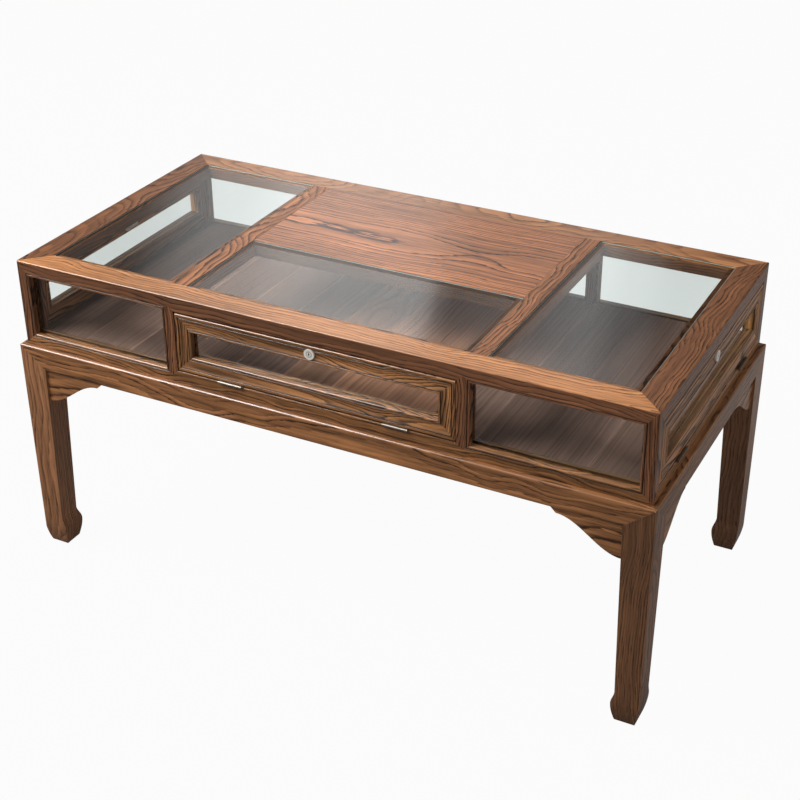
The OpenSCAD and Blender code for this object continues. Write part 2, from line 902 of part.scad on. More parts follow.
leg(false, false);  // leg_front_left
leg(true, false);  // leg_front_right
leg(false, true);  // leg_back_left
leg(true, true);  // leg_back_right
apron(front);  // apron_front
apron(right);  // apron_right
apron(back);  // apron_back
apron(left);  // apron_left
long_brackets();
end_brackets();
stand_bearers();
top_rail(front);  // top_rail_front
top_rail(right);  // top_rail_right
top_rail(back);  // top_rail_back
top_rail(left);  // top_rail_left
cross_rail(-cross_x);  // cross_rail_left
cross_rail(cross_x);  // cross_rail_right
top_panel();
panel_bearer();
top_glass(-bay_out, -bay_in, bay_y);  // top_glass_left
top_glass(-bay_mid, bay_mid, -panel_front);  // top_glass_middle
top_glass(bay_in, bay_out, bay_y);  // top_glass_right
corner_post(false, false);  // post_front_left
corner_post(true, false);  // post_front_right
corner_post(false, true);  // post_back_left
corner_post(true, true);  // post_back_right
mid_posts(front);  // front_mid_posts
mid_posts(back);  // back_mid_posts
base_rail(front);  // base_rail_front
base_rail(right);  // base_rail_right
base_rail(back);  // base_rail_back
base_rail(left);  // base_rail_left
floor_boards();
floor_battens();
window_glass();
window_strips();
flap_stops();
hinge_case_leaves();
hinge_pins();
flap_rails(front);  // front_flap_rails
flap_stiles(front);  // front_flap_stiles
flap_glass(front);  // front_flap_glass
flap_strips(front);  // front_flap_strips
flap_leaves(front);  // front_flap_leaves
lock_body(front);  // front_lock_body
lock_plug(front);  // front_lock_plug
flap_rails(right);  // right_flap_rails
flap_stiles(right);  // right_flap_stiles
flap_glass(right);  // right_flap_glass
flap_strips(right);  // right_flap_strips
flap_leaves(right);  // right_flap_leaves
lock_body(right);  // right_lock_body
lock_plug(right);  // right_lock_plug
flap_rails(left);  // left_flap_rails
flap_stiles(left);  // left_flap_stiles
flap_glass(left);  // left_flap_glass
flap_strips(left);  // left_flap_strips
flap_leaves(left);  // left_flap_leaves
lock_body(left);  // left_lock_body
lock_plug(left);  // left_lock_plug
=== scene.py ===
import json
import math

import bpy
import numpy as np
from mathutils import Euler, Matrix, Vector

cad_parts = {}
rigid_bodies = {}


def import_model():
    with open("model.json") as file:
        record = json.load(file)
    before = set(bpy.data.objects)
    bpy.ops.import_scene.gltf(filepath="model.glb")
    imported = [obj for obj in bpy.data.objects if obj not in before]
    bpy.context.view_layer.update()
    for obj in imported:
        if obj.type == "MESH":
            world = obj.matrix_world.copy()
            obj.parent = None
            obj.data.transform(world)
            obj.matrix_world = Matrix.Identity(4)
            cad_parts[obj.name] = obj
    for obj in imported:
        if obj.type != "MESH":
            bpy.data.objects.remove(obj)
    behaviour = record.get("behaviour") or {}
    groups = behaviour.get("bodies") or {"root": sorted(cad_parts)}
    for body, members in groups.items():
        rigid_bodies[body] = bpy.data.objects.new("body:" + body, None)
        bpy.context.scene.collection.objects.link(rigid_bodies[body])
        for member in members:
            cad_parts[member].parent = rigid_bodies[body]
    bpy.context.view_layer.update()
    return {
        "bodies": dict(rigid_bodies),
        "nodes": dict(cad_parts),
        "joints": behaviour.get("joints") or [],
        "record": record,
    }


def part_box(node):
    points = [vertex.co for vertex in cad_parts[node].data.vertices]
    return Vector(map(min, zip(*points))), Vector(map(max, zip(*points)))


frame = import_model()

nodes = frame["nodes"]
print("display table: frame loaded,", len(nodes), "wooden, glass and metal parts")

cameraValues = {
    "place": (1.1380, -2.1616, 1.7173),
    "azimuth": 26.6701,     # degrees round from the front, towards the right
    "elevation": 29.4909,
    "roll": -0.0564,
    "sensor": 36,           # millimetres, as the lens
    "lens": 69.192,
    "shift": (-0.0236, -0.0150),
    "near": 0.05,
    "far": 60,
}


def makeCamera(values):
    # back points from the object to the lens; right and up are turned by the roll about it
    a, e, r = (math.radians(values[k]) for k in ("azimuth", "elevation", "roll"))
    back = Vector((math.sin(a) * math.cos(e), -math.cos(a) * math.cos(e), math.sin(e)))
    right = (-back).cross(Vector((0, 0, 1))).normalized()
    up = right.cross(-back)
    turnedRight = math.cos(r) * right + math.sin(r) * up
    turnedUp = -math.sin(r) * right + math.cos(r) * up
    data = bpy.data.cameras.new("tableCamera")
    data.sensor_width, data.lens = values["sensor"], values["lens"]
    data.shift_x, data.shift_y = values["shift"]
    data.clip_start, data.clip_end = values["near"], values["far"]
    camera = bpy.data.objects.new("tableCamera", data)
    bpy.context.scene.collection.objects.link(camera)
    place = Matrix((turnedRight, turnedUp, back)).transposed().to_4x4()
    place.translation = Vector(values["place"])
    camera.matrix_world = place
    bpy.context.scene.camera = camera


makeCamera(cameraValues)
print("camera made")


class NodeSheet:
    # short hand for building the node tree of a material or of the sky

    def __init__(self, owner):
        owner.use_nodes = True
        self.owner = owner
        self.tree = owner.node_tree
        self.tree.nodes.clear()

    def add(self, kind, inputs=None, **settings):
        # a node of this kind; an input is either a socket to link from or a plain value
        node = self.tree.nodes.new(kind)
        for key, value in settings.items():
            setattr(node, key, value)
        for key, value in (inputs or {}).items():
            if isinstance(value, bpy.types.NodeSocket):
                self.tree.links.new(value, node.inputs[key])
            else:
                node.inputs[key].default_value = value
        return node

    def done(self, shader):
        # the shader is the surface, and the material is ready
        self.add("ShaderNodeOutputMaterial", {"Surface": shader.outputs[0]})
        return self.owner

    def math(self, operation, a, b=0.0, c=0.0, clamp=False):
        # one sum of up to three values; clamp keeps it between 0 and 1
        return self.add("ShaderNodeMath", {0: a, 1: b, 2: c}, operation=operation, use_clamp=clamp).outputs[0]

    def above(self, value, start, gain, clamp=False):
        # (value - start) * gain
        return self.math("MULTIPLY", self.math("SUBTRACT", value, start), gain, clamp=clamp)

    def length(self, a, b):
        # sqrt(a^2 + b^2)
        squares = self.math("ADD", self.math("POWER", a, 2.0), self.math("POWER", b, 2.0))
        return self.math("POWER", squares, 0.5)

    def split(self, vector):
        # x, y and z of a vector
        return self.add("ShaderNodeSeparateXYZ", {0: vector}).outputs

    def mapping(self, vector, **settings):
        # the vector turned and moved
        return self.add("ShaderNodeMapping", {"Vector": vector, **settings}).outputs[0]

    def eased(self, value, low, high, start=0.0):
        # start at low, 1 at high, and a smooth step between them
        limits = {"Value": value, "From Min": low, "From Max": high, "To Min": start}
        return self.add("ShaderNodeMapRange", limits, interpolation_type="SMOOTHSTEP").outputs[0]

    def noise(self, vector, scale, detail=2.0, rough=0.5):
        # scale is one number, or three for the three directions
        scale = scale if isinstance(scale, tuple) else (scale,) * 3
        spread = self.add("ShaderNodeVectorMath", {0: vector, 1: scale}, operation="MULTIPLY").outputs[0]
        settings = {"Vector": spread, "Scale": 1.0, "Detail": detail, "Roughness": rough}
        return self.add("ShaderNodeTexNoise", settings).outputs["Fac"]

    def ramp(self, factor, stops, mode="LINEAR"):
        # stops are (place, level) or (place, colour)
        node = self.add("ShaderNodeValToRGB", {0: factor})
        band = node.color_ramp
        band.interpolation = mode
        for number, (place, colour) in enumerate(stops):
            stop = band.elements[number] if number < 2 else band.elements.new(place)
            stop.position = place
            stop.color = (*colour, 1) if isinstance(colour, tuple) else (colour,) * 3 + (1,)
        return node.outputs[0]

    def blend(self, factor, a, b, mode="MIX"):
        # a at factor 0, b (or a multiplied by b) at factor 1
        node = self.add("ShaderNodeMix", data_type="RGBA", blend_type=mode)
        for socket, value in ((node.inputs[0], factor), (node.inputs[6], a), (node.inputs[7], b)):
            if isinstance(value, bpy.types.NodeSocket):
                self.tree.links.new(value, socket)
            else:
                socket.default_value = value if isinstance(value, float) else (*value, 1)
        return node.outputs[2]

    def times(self, colour, other):
        # a colour multiplied by another one, or by a plain number
        return self.blend(1.0, colour, (other,) * 3 if isinstance(other, float) else other, "MULTIPLY")


def newMaterial(name):
    return NodeSheet(bpy.data.materials.new(name))


grainTurns = {"x": (0, 0, 0), "y": (0, 0, -math.pi / 2), "z": (0, math.pi / 2, 0)}

# Stained ash: colours are linear; lines are growth rings per metre of the trunk's radius, sway is
# how far the trunk's middle wanders along a board, thin is the share of a ring that is dark,
# the shaded side is the kind whose colours the upright faces take, arris how strongly arrises shine,
# and streak how far the tone changes across the grain. Light is painted into the top, rail and panel
# kinds: their faces that look up take their own, lit colours, and their upright faces the darker
# post colours as painted shade
woodValues = {
    "top": {"dark": (0.190, 0.058, 0.016), "light": (0.72, 0.310, 0.108), "lines": 230, "sway": 0.05,
            "thin": 0.18, "poreShare": 0.75, "contrast": 1.05, "rough": 0.34, "shine": 0.4, "coat": 0.8,
            "side": "post", "bump": 0.3, "arris": 1.5, "streak": 1.6},
    # painted sheen: the top kind, for the top's boards that run across, is lighter than the rail kind, for those
    # that run front to back, to stand in for the sheen those show along their grain
    "rail": {"dark": (0.050, 0.015, 0.005), "light": (0.36, 0.140, 0.052), "lines": 250, "sway": 0.05,
             "thin": 0.20, "poreShare": 0.7, "contrast": 1.2, "rough": 0.36, "shine": 0.3, "coat": 0.5,
             "side": "post", "bump": 0.3, "arris": 1.5, "streak": 1.8},
    "panel": {"dark": (0.050, 0.012, 0.004), "light": (0.60, 0.215, 0.072), "lines": 160, "sway": 0.03,
              "thin": 0.12, "poreShare": 0.8, "contrast": 3.0, "rough": 0.33, "shine": 0.35, "coat": 0.85,
              "side": "post", "bump": 0.3, "arris": 1.5, "streak": 1.8},
    "front": {"dark": (0.034, 0.013, 0.005), "light": (0.40, 0.176, 0.062), "lines": 200, "sway": 0.07,
              "thin": 0.24, "poreShare": 0.8, "contrast": 1.5, "rough": 0.40, "shine": 0.25, "coat": 0.7,
              "side": "front", "bump": 0.35, "arris": 2.1, "streak": 2.4},
    "post": {"dark": (0.020, 0.007, 0.003), "light": (0.27, 0.107, 0.045), "lines": 230, "sway": 0.05,
             "thin": 0.24, "poreShare": 0.8, "contrast": 1.5, "rough": 0.40, "shine": 0.25, "coat": 0.7,
             "side": "post", "bump": 0.35, "arris": 2.1, "streak": 3.0},
    "stand": {"dark": (0.050, 0.019, 0.007), "light": (0.38, 0.163, 0.062), "lines": 215, "sway": 0.08,
              "thin": 0.20, "poreShare": 0.9, "contrast": 1.15, "rough": 0.40, "shine": 0.25, "coat": 0.7,
              "side": "stand", "bump": 0.35, "arris": 1.85, "streak": 2.4},
    "floor": {"dark": (0.110, 0.062, 0.048), "light": (0.310, 0.185, 0.148), "lines": 110, "sway": 0.08,
              "thin": 0.3, "poreShare": 0.2, "contrast": 0.4, "rough": 0.7, "shine": 0.02, "coat": 0.0,
              "side": "floor", "bump": 0.0, "arris": 1.5, "streak": 0.6},
}
woodValues["leg"] = {**woodValues["stand"], "light": (0.40, 0.178, 0.080), "contrast": 0.7, "sway": 0.05,
                     "streak": 1.3, "side": "leg"}
# painted shade: the ledges of the end flaps lie in the shade and get darker colours than the front kind
woodValues["end"] = {**woodValues["front"], "dark": (0.020, 0.007, 0.003), "light": (0.150, 0.066, 0.028)}

# How light or dark single boards are against their kind: partly the stain's own tone, partly painted
# light and shade, such as the front right leg darkened where the light falls off and the right flap
# rails lightened in the shade
boardTonesAndShade = {"cross_rail_left": 1.3, "cross_rail_right": 1.15, "panel_bearer": 0.5, "window_strips": 0.6,
              "top_rail_front": 0.94, "top_rail_right": 0.78, "top_rail_back": 0.8, "top_rail_left": 0.8,
              "leg_front_left": 1.2, "leg_front_right": 0.65, "leg_back_right": 0.85, "apron_front": 1.05,
              "apron_right": 0.75, "base_rail_front": 0.95, "front_flap_rails": 1.2, "right_flap_rails": 1.3,
              "right_flap_stiles": 1.2}

# Where the trunk's middle lies from a board's own middle, in metres, across the grain: (sideways or
# back, up or sideways); it decides whether a face shows stripes or pointed flames
trunkOffsets = {"leg_front_left": (-0.06, 0.03), "leg_front_right": (0.02, 0.09), "apron_front": (-0.05, 0.03),
                "base_rail_front": (-0.04, 0.06), "front_flap_rails": (-0.03, 0.05), "top_rail_front": (-0.05, 0.06),
                "top_panel": (0.02, 0.075), "right_flap_rails": (0.09, 0.01), "right_flap_strips": (0.09, 0.01),
                "left_flap_rails": (0.09, 0.01), "left_flap_strips": (0.09, 0.01)}
randomOffsets = ((-0.05, 0.05), (0.05, 0.10))     # lowest and highest for all other boards

# The noises that draw the grain of every board: scale is how fast a noise changes per metre, along
# the grain and across it
grainNoises = {
    "sway": {"scale": (2.4, 0.0, 0.0), "detail": 3.0, "rough": 0.45},
    "bend": {"scale": (3.0, 13.0, 13.0), "rough": 0.45},
    "ragged": {"scale": (20.0, 340.0, 340.0), "detail": 3.0, "rough": 0.6},
    "mark": {"scale": (3.0, 40.0, 40.0)},
    "pore": {"scale": (26.0, 520.0, 520.0), "rough": 0.6},
    "slow": {"scale": (2.5, 9.0, 9.0)},
    "streak": {"scale": (4.0, 130.0, 130.0), "detail": 4.0, "rough": 0.6},
    "rubAndHighlight": {"scale": (14.0, 60.0, 60.0)},
}

# What those noises do
grainValues = {
    "bend": 0.014, "ragged": 0.0034,            # metres added to the distance from the trunk's middle
    "summers": 40.0, "crowd": 3.5,              # how often the rings' spacing changes, and by how many
    "middleTone": 0.6,                          # the wood's tone where a ring is hardly marked
    "darkFade": (0.6, 1.4), "fullAt": 0.75,     # the dark line fades between these shares of thin
    "lateStart": 0.25,                          # the next one starts this share of thin before it
    "yearGain": 0.9, "markStart": 0.42, "markGain": 2.4,
    "poreStart": 0.52, "poreGain": 8.0,
    "poreFade": 0.33, "poreLeast": 0.3,         # how fast pores end after early wood, and what stays
    "slow": 1.2,                                # change of tone along a board
    "poreRough": 0.30,                          # roughness that pores add
    "ringHeight": 0.15, "bumpHeight": 0.0004,   # late wood against a pore's depth of 1; metres
    "ior": 1.5, "coatRough": 0.16,              # of the lacquer
}

# Arrises: the radius in metres that they look rounded to, where the mask starts and ends, and how
# much stain is rubbed off them, by a patchy noise above its start; the rubbed arrises also take a
# painted highlight, turning lighter than the wood's light colour by the gain
edgeValues = {"round": 0.0015, "from": 0.10, "to": 0.26, "rubAndHighlight": 0.7, "rubAndHighlightStart": 0.2, "rubAndHighlightGain": 1.4}

# The floor boards' whole width in metres, the shade of each board from left to right, the width and
# gain of the pale lines along their joints, which are a painted highlight, and the start and gain of
# the patches that show them
floorBoards = {"width": 1.142, "joint": 0.0045, "jointGain": 1.8, "patchStart": 0.35, "patchGain": 4.0, "shades": (
    (0.85, 0.85, 0.85), (1.00, 1.00, 1.00), (0.75, 0.76, 0.78), (0.90, 0.90, 0.90),
    (0.80, 0.80, 0.82), (1.45, 1.25, 1.05), (2.00, 1.65, 1.30), (1.95, 1.60, 1.28),
    (1.00, 1.00, 1.00), (0.75, 0.75, 0.76), (0.90, 0.90, 0.92), (0.80, 0.80, 0.80))}

# The fine grooves, darkened with dirt and painted shade: their colour, half their width, how strongly
# they show, and how near to a frame's face a point has to lie
grooveDirtAndShadeValues = {"dark": (0.010, 0.004, 0.002), "half": 0.0009, "share": 0.9, "near": 0.006}

# Moulded frames: the face they lie in (0 for the ends, 1 for the front and back), its place, the
# middle and half size of the frame, and how far from its edge the fine grooves run
windowGrooves = (0.0046,)
flapGrooves = (-0.0066, -0.0254)
windowFrames = [(1, face, (middle, 0.50625), (half, 0.05675), windowGrooves) for face, middle, half in (
    (-0.29, -0.4265, 0.1405), (-0.29, 0.4265, 0.1405),
    (0.29, -0.4265, 0.1405), (0.29, 0.0, 0.2625), (0.29, 0.4265, 0.1405))]
flapFrames = {"front": [(1, -0.29, (0.0, 0.50595), (0.2610, 0.05405), flapGrooves)],
              "right": [(0, 0.59, (0.0, 0.50595), (0.2655, 0.05405), flapGrooves)],
              "left": [(0, -0.59, (0.0, 0.50595), (0.2655, 0.05405), flapGrooves)]}


def growthRings(s, v, place, trunk, seed):
    # radius = distance from the trunk's middle, which sways along the grain, + bend + raggedness;
    # rings = lines * radius + crowding: good and bad summers put them closer in some years; the
    # whole part is the year, and the fraction runs from its early wood to its late wood
    g = grainValues
    parts = s.split(trunk)
    sway = s.above(s.noise(place, **grainNoises["sway"]), 0.5, 2.0 * v["sway"])
    radius = s.length(parts[1], s.math("ADD", parts[2], sway))
    for part in ("bend", "ragged"):
        radius = s.math("ADD", radius, s.math("MULTIPLY", s.noise(place, **grainNoises[part]), g[part]))
    summers = s.add("ShaderNodeCombineXYZ", {0: s.math("MULTIPLY", radius, g["summers"]), 1: seed[0]}).outputs[0]
    crowd = s.math("MULTIPLY", s.noise(summers, 1.0, 1.0), g["crowd"])
    rings = s.math("ADD", s.math("MULTIPLY", radius, v["lines"]), crowd)
    return s.math("FLOOR", rings), s.math("FRACT", rings)


def ringShade(s, v, place, year, season):
    # 0 through the dark share of a year and 1 in full light wood, faded towards the middle tone by
    # strength = contrast * (chance of the year * its gain + (noise - start) * gain): some years are
    # hardly marked, others strongly, and no line keeps its strength along a board
    g = grainValues
    darkEnd, lightStart = (v["thin"] * share for share in g["darkFade"])
    late = 1.0 - v["thin"] * g["lateStart"]
    shade = s.ramp(season, [(0.0, 0), (darkEnd, 0), (lightStart, g["middleTone"]), (g["fullAt"], 1), (late, 1),
                            (1.0, 0)])
    chance = s.add("ShaderNodeTexWhiteNoise", {"W": year}, noise_dimensions="1D").outputs["Value"]
    along = s.above(s.noise(place, **grainNoises["mark"]), g["markStart"], g["markGain"])
    strength = s.math("ADD", s.math("MULTIPLY", chance, g["yearGain"]), along)
    strength = s.math("MULTIPLY", strength, v["contrast"], clamp=True)
    return s.blend(strength, (g["middleTone"],) * 3, shade)


def poreMask(s, v, place, season):
    # long thin flecks = (noise - start) * gain, times least + (1 - least) * early, where
    # early = 1 - season * fade / thin: they are thickest in the early wood
    g = grainValues
    fleck = s.above(s.noise(place, **grainNoises["pore"]), g["poreStart"], g["poreGain"], clamp=True)
    early = s.math("SUBTRACT", 1.0, s.math("MULTIPLY", season, g["poreFade"] / v["thin"]), clamp=True)
    early = s.math("ADD", s.math("MULTIPLY", early, 1.0 - g["poreLeast"]), g["poreLeast"])
    return s.math("MULTIPLY", fleck, early, clamp=True)


def stainAndShadeGain(s, v, place, slow, tone):
    # tone * (1 + (slow - 1/2) * its share + (streaks - 1/2) * their share); tone is the board's own
    # tone together with its painted light and shade
    g = grainValues
    streaks = s.above(s.noise(place, **grainNoises["streak"]), 0.5, v["streak"])
    gain = s.math("ADD", s.above(slow, 0.5, g["slow"]), streaks)
    gain = s.math("MULTIPLY", s.math("ADD", gain, 1.0), tone)
    return s.add("ShaderNodeCombineColor", {0: gain, 1: gain, 2: gain}).outputs[0]


def floorShadesAndJointHighlights(s, colour, across, patches):
    # share = x / width + 1/2 picks the board; a ramp holds half of each board's shade, because its
    # colours end at 1; a joint is where fract(share * boards) is within half a joint of 0 or 1, and there
    # a painted highlight lightens the colour where the patches show it
    v = floorBoards
    boards = len(v["shades"])
    share = s.math("MULTIPLY_ADD", across, 1.0 / v["width"], 0.5)
    halves = [(i / boards, tuple(c / 2 for c in shade)) for i, shade in enumerate(v["shades"])]
    colour = s.times(s.times(colour, s.ramp(share, halves, "CONSTANT")), 2.0)
    off = s.math("FRACT", s.math("MULTIPLY", share, float(boards)))
    off = s.math("ABSOLUTE", s.math("SUBTRACT", off, 0.5))
    joint = s.math("GREATER_THAN", off, 0.5 - v["joint"] / 2 * boards / v["width"])
    shown = s.math("MULTIPLY", s.math("SUBTRACT", patches, v["patchStart"], clamp=True), v["patchGain"])
    joint = s.math("MULTIPLY", joint, shown, clamp=True)
    return s.blend(joint, colour, s.times(colour, v["jointGain"]))


def arrisMask(s, soft):
    # 1 - the largest part of the rounded normal is 0 on a flat face and 0.29 on an arris
    own = s.add("ShaderNodeVectorTransform", {0: soft}, vector_type="NORMAL", convert_from="WORLD",
                convert_to="OBJECT").outputs[0]
    x, y, z = (s.math("ABSOLUTE", part) for part in s.split(own))
    most = s.math("MAXIMUM", s.math("MAXIMUM", x, y), z)
    return s.eased(s.math("SUBTRACT", 1.0, most), edgeValues["from"], edgeValues["to"])


def grooveDirtAndShadeMask(s, parts, frames):
    # 1 in a groove: across = max(|a - middle a| - half a, |z - middle z| - half z) is the distance
    # outwards from a frame's edge, and a groove lies where |across - its place| < half its width
    total = 0.0
    for face, depth, middle, half, places in frames:
        a = s.math("SUBTRACT", s.math("ABSOLUTE", s.math("SUBTRACT", parts[1 - face], middle[0])), half[0])
        z = s.math("SUBTRACT", s.math("ABSOLUTE", s.math("SUBTRACT", parts[2], middle[1])), half[1])
        across = s.math("MAXIMUM", a, z)
        near = s.math("COMPARE", parts[face], depth, grooveDirtAndShadeValues["near"])
        for place in places:
            line = s.math("COMPARE", across, place, grooveDirtAndShadeValues["half"])
            total = s.math("MAXIMUM", s.math("MULTIPLY", near, line), total)
    return total


def makeWood(name, kind, axis, heart, seed, tone, frames):
    # a board cut from a trunk whose middle runs along the grain at heart: colour = rings, darkened
    # by pores, times the board's gain of stain with its painted light and shade, then rubbed and given a
    # painted highlight at the arrises, and darkened with dirt and painted shade in the grooves
    v, g, e = woodValues[kind], grainValues, edgeValues
    s = newMaterial(name)
    coordinates = s.add("ShaderNodeTexCoord").outputs
    turned = s.mapping(coordinates["Object"], Rotation=grainTurns[axis])
    place = s.mapping(turned, Location=seed)
    trunk = s.mapping(turned, Location=[-c for c in heart])
    year, season = growthRings(s, v, place, trunk, seed)
    # painted light and shade: faces that look up take the kind's own, lit colours, the others the colours
    # of its shaded side kind, which for the top, rail and panel kinds are darker as painted shade
    paintedLightShare = s.math("ABSOLUTE", s.split(coordinates["Normal"])[2])
    shadedUpright = woodValues[v["side"]]
    dark = s.blend(paintedLightShare, shadedUpright["dark"], v["dark"])
    light = s.blend(paintedLightShare, shadedUpright["light"], v["light"])
    board = s.blend(ringShade(s, v, place, year, season), dark, light)
    pores = poreMask(s, v, place, season)
    colour = s.blend(s.math("MULTIPLY", pores, v["poreShare"]), board, dark)
    slow = s.noise(place, **grainNoises["slow"])
    colour = s.times(colour, stainAndShadeGain(s, v, place, slow, tone))
    plain = s.split(coordinates["Object"])
    if name.startswith("floor_boards"):
        colour = floorShadesAndJointHighlights(s, colour, plain[0], slow)
    soft = s.add("ShaderNodeBevel", {"Radius": e["round"]}, samples=4).outputs[0]
    arris = arrisMask(s, soft)
    # wear and painted highlight: patchy arrises turn lighter than the wood's light colour
    rubAndHighlightNoise = s.math("MULTIPLY", s.noise(place, **grainNoises["rubAndHighlight"]), e["rubAndHighlight"] * 2.0)
    rubAndHighlight = s.math("MULTIPLY", arris, s.math("SUBTRACT", rubAndHighlightNoise, e["rubAndHighlightStart"], clamp=True), clamp=True)
    colour = s.blend(rubAndHighlight, colour, s.times(light, e["rubAndHighlightGain"]))
    # dirt and painted shade: the grooves of the moulded frames are darkened to near black
    if frames:
        grooveDirtAndShade = s.math("MULTIPLY", grooveDirtAndShadeMask(s, plain, frames), grooveDirtAndShadeValues["share"])
        colour = s.blend(grooveDirtAndShade, colour, grooveDirtAndShadeValues["dark"])
    height = s.math("SUBTRACT", s.math("MULTIPLY", season, g["ringHeight"]), pores)
    bump = s.add("ShaderNodeBump", {"Strength": v["bump"], "Distance": g["bumpHeight"], "Height": height,
                                    "Normal": soft}).outputs[0]
    return s.done(s.add("ShaderNodeBsdfPrincipled", {
        "Base Color": colour, "Roughness": s.math("ADD", v["rough"], s.math("MULTIPLY", pores, g["poreRough"])),
        "Normal": bump, "IOR": g["ior"], "Specular IOR Level": v["shine"],
        "Coat Weight": s.math("MAXIMUM", v["coat"], arris), "Coat Roughness": g["coatRough"], "Coat Normal": soft,
        "Coat IOR": s.math("MULTIPLY_ADD", arris, v["arris"] - g["ior"], g["ior"])}))


# Clear float glass: haze is the roughness that handling leaves, above the noise's start
glassValues = {"tint": (0.93, 0.97, 0.955), "ior": 1.5, "hazeScale": 14.0, "hazeStart": 0.55, "haze": 0.06}


def makeGlass(name):
    # a pane of glass; lamps pass through it: a shadow ray meets a clear sheet of the same tint
    v = glassValues
    s = newMaterial(name)
    haze = s.noise(s.add("ShaderNodeTexCoord").outputs["Object"], v["hazeScale"], 3.0)
    rough = s.math("MULTIPLY", s.math("SUBTRACT", haze, v["hazeStart"], clamp=True), v["haze"])
    tint = (*v["tint"], 1)
    pane = s.add("ShaderNodeBsdfPrincipled", {"Base Color": tint, "Roughness": rough, "IOR": v["ior"],
                                              "Transmission Weight": 1.0})
    clear = s.add("ShaderNodeBsdfTransparent", {"Color": tint})
    shadow = s.add("ShaderNodeLightPath").outputs["Is Shadow Ray"]
    return s.done(s.add("ShaderNodeMixShader", {0: shadow, 1: pane.outputs[0], 2: clear.outputs[0]}))


# The bevel round a pane: glass ground matt, which catches the light
groundValues = {"colour": (0.62, 0.72, 0.66), "rough": 0.3, "grit": 0.2, "gritScale": 700.0,
                "patchScale": 30.0, "patchShare": 0.5, "patchTone": 0.55}


def makeGroundEdge(name):
    # roughness = rough + grit * noise; the colour falls to patchTone of itself in patches
    v = groundValues
    s = newMaterial(name)
    place = s.add("ShaderNodeTexCoord").outputs["Object"]
    grit = s.noise(place, v["gritScale"])
    patches = s.noise(place, v["patchScale"])
    dull = tuple(v["patchTone"] * c for c in v["colour"])
    tone = s.blend(s.math("MULTIPLY", patches, v["patchShare"]), v["colour"], dull)
    rough = s.math("MULTIPLY_ADD", grit, v["grit"], v["rough"])
    return s.done(s.add("ShaderNodeBsdfPrincipled", {"Base Color": tone, "Roughness": rough}))


# Plated metal: colour, roughness and metal share of the hinges and locks; fine polishing lines and
# dull spots on both
steelValues = {"hinge": {"colour": (0.42, 0.37, 0.32), "rough": 0.38, "metal": 1.0},
               "lock": {"colour": (0.98, 0.92, 0.83), "rough": 0.40, "metal": 0.15},
               "fineScale": 900.0, "fine": 0.12, "bump": 0.15, "bumpHeight": 0.0001,
               "spotScale": 160.0, "spotShare": 0.35, "spotTone": 0.6}

# The turned face of a lock's plug: the height of its axis, the radius of its rim, and its shade
# from the keyhole outwards, against the share of that radius; the dark middle is painted shade in
# the keyhole, and the grey ring painted shade in a turned groove
plugRingsAndShade = {"height": 0.545, "rim": 0.0064,
              "rings": [(0.0, 0.05), (0.2, 0.05), (0.3, 1.0), (0.55, 1.0), (0.66, 0.5), (0.82, 0.5), (0.92, 0.95)]}


def makeSteel(name, kind, across=None):
    # roughness = rough + fine * noise; a plug also has turned rings, which go with
    # radius = sqrt(a^2 + (z - height)^2), where a is coordinate number across; their dark middle and
    # grey ring are painted shade
    v = steelValues
    metal = v[kind]
    s = newMaterial(name)
    place = s.add("ShaderNodeTexCoord").outputs["Object"]
    fine = s.noise(place, v["fineScale"], 3.0)
    spots = s.noise(place, v["spotScale"])
    dull = tuple(v["spotTone"] * c for c in metal["colour"])
    tone = s.blend(s.math("MULTIPLY", spots, v["spotShare"]), metal["colour"], dull)
    if across is not None:
        parts = s.split(place)
        radius = s.length(parts[across], s.math("SUBTRACT", parts[2], plugRingsAndShade["height"]))
        tone = s.times(tone, s.ramp(s.math("DIVIDE", radius, plugRingsAndShade["rim"]), plugRingsAndShade["rings"]))
    rough = s.math("ADD", metal["rough"], s.math("MULTIPLY", fine, v["fine"]))
    bump = s.add("ShaderNodeBump", {"Strength": v["bump"], "Distance": v["bumpHeight"], "Height": fine}).outputs[0]
    return s.done(s.add("ShaderNodeBsdfPrincipled", {"Base Color": tone, "Metallic": metal["metal"],
                                                     "Roughness": rough, "Normal": bump}))


def woodOf(node):
    # kind of finish and grain axis for each wooden part
    alongY = ("right", "left")
    if node.startswith(("floor_", "stand_bearers")):
        return "floor", "y"
    if node.startswith("leg_"):
        return "leg", "z"
    if node.startswith("apron_"):
        return "stand", "y" if node.endswith(alongY) else "x"
    if node.endswith("_brackets"):
        return "stand", "y" if node.startswith("end") else "x"
    if node.startswith(("top_rail_right", "top_rail_left", "cross_rail")):
        return "rail", "y"
    if node.startswith("top_rail_"):
        return "top", "x"
    if node == "top_panel":
        return "panel", "x"
    if node == "panel_bearer":
        return "rail", "x"
    if node.startswith("post_") or "mid_posts" in node or node == "flap_stops":
        return "post", "z"
    if node.endswith("flap_stiles"):
        return "front", "z"
    if node.startswith(alongY):
        return "end", "y"
    return "front", "y" if node.endswith(alongY) else "x"


def framesOf(node):
    # the moulded frames that have grooves on this part
    if node.endswith(("flap_rails", "flap_stiles")):
        return flapFrames[node.split("_")[0]]
    if node.startswith("post_") or node.endswith(("_mid_posts", "_rail_front", "_rail_back")):
        return [frame for frame in windowFrames if (frame[1] < 0) == ("front" in node)]
    return []


def dress(node, material):
    # one finish for every face
    mesh = nodes[node].data
    mesh.materials.clear()
    mesh.materials.append(material)
    mesh.polygons.foreach_set("material_index", np.zeros(len(mesh.polygons), np.int32))


